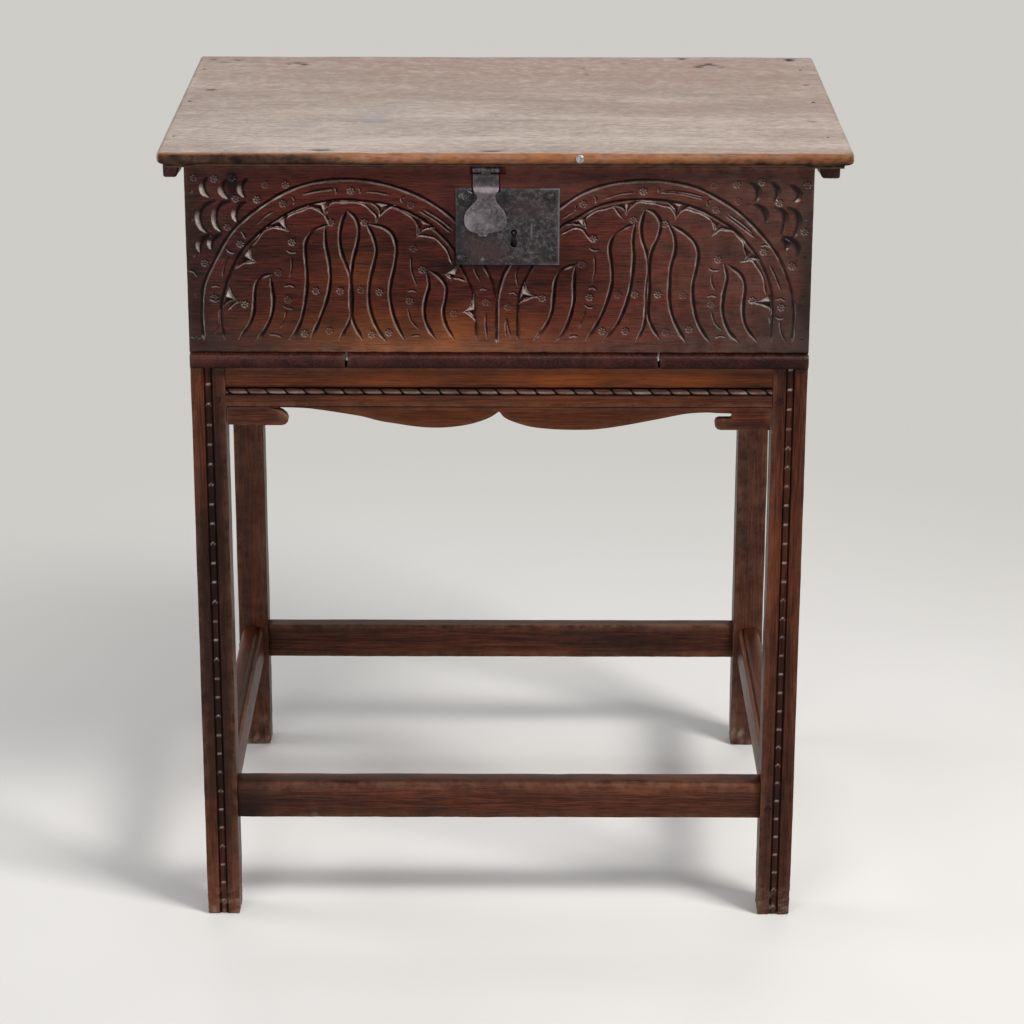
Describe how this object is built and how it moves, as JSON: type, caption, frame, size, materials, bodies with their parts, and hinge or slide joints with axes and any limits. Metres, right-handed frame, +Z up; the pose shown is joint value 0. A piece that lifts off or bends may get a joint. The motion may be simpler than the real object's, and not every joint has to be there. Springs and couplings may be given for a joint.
{
  "type": "bible box on stand",
  "caption": "Joined oak bible box with carved front, cleated lid on wooden pin hinges, iron hasp and plate lock, resting on a low pegged stand with a fretted apron.",
  "frame": {"origin": "on the floor, under the middle of the whole object", "axes": "+Z up, +X to the right and +Y to the back as seen from the carved front"},
  "size_m": [0.682, 0.5052, 0.8323],
  "materials": {
    "stand_oak": "old oak, dark red-brown, waxed and worn",
    "box_oak": "old oak, dark red-brown, waxed, carved on the front",
    "lid_oak": "old oak, faded grey-brown on top, warmer at the edges",
    "peg_oak": "riven oak pegs, end grain showing",
    "lock_iron": "wrought iron, dark grey, pitted",
    "nail_iron": "wrought iron, hammered heads, rusted"
  },
  "bodies": {
    "stand": {"leg_front_left": "stand_oak", "leg_front_right": "stand_oak", "leg_rear_left": "stand_oak", "leg_rear_right": "stand_oak", "rail_front": "stand_oak", "rail_rear": "stand_oak", "rail_left": "stand_oak", "rail_right": "stand_oak", "stretcher_front": "stand_oak", "stretcher_rear": "stand_oak", "stretcher_left": "stand_oak", "stretcher_right": "stand_oak", "pegs_front": "peg_oak", "pegs_rear": "peg_oak", "pegs_left": "peg_oak", "pegs_right": "peg_oak", "apron": "stand_oak", "apron_nails": "nail_iron"},
    "box": {"bottom_board_left": "box_oak", "bottom_board_middle": "box_oak", "bottom_board_right": "box_oak", "front_board": "box_oak", "side_board_left": "box_oak", "side_board_right": "box_oak", "back_board": "box_oak", "bottom_nails": "nail_iron", "front_nails": "nail_iron", "back_nails": "nail_iron", "hinge_pin_left": "peg_oak", "hinge_pin_right": "peg_oak", "lock_plate": "lock_iron", "lock_plate_nails": "nail_iron", "lock_guides": "lock_iron", "lock_cap": "lock_iron", "lock_spring": "lock_iron"},
    "lid": {"lid_board": "lid_oak", "cleat_left": "lid_oak", "cleat_right": "lid_oak", "cleat_nails": "nail_iron", "lid_stud": "nail_iron", "hasp_leaf": "lock_iron", "hasp_leaf_nails": "nail_iron", "hasp_pin": "lock_iron"},
    "hasp": {"hasp": "lock_iron", "hasp_staple": "lock_iron"},
    "lock_bolt": {"lock_bolt": "lock_iron"}
  },
  "joints": [
    {"name": "box_lift", "type": "slide", "parent": "stand", "child": "box", "axis": [0, 0, 1], "range_m": [0, 0.12]},
    {"name": "lid_hinge", "type": "hinge", "parent": "box", "child": "lid", "pos_m": [-0.006, 0.209, 0.804], "axis": [-1, 0, 0], "range_deg": [0, 92]},
    {"name": "hasp_swing", "type": "hinge", "parent": "lid", "child": "hasp", "pos_m": [-0.019, -0.2326, 0.8118], "axis": [-1, 0, 0], "range_deg": [0, 95]},
    {"name": "bolt_throw", "type": "slide", "parent": "box", "child": "lock_bolt", "axis": [-1, 0, 0], "range_m": [0, 0.01]}
  ]
}
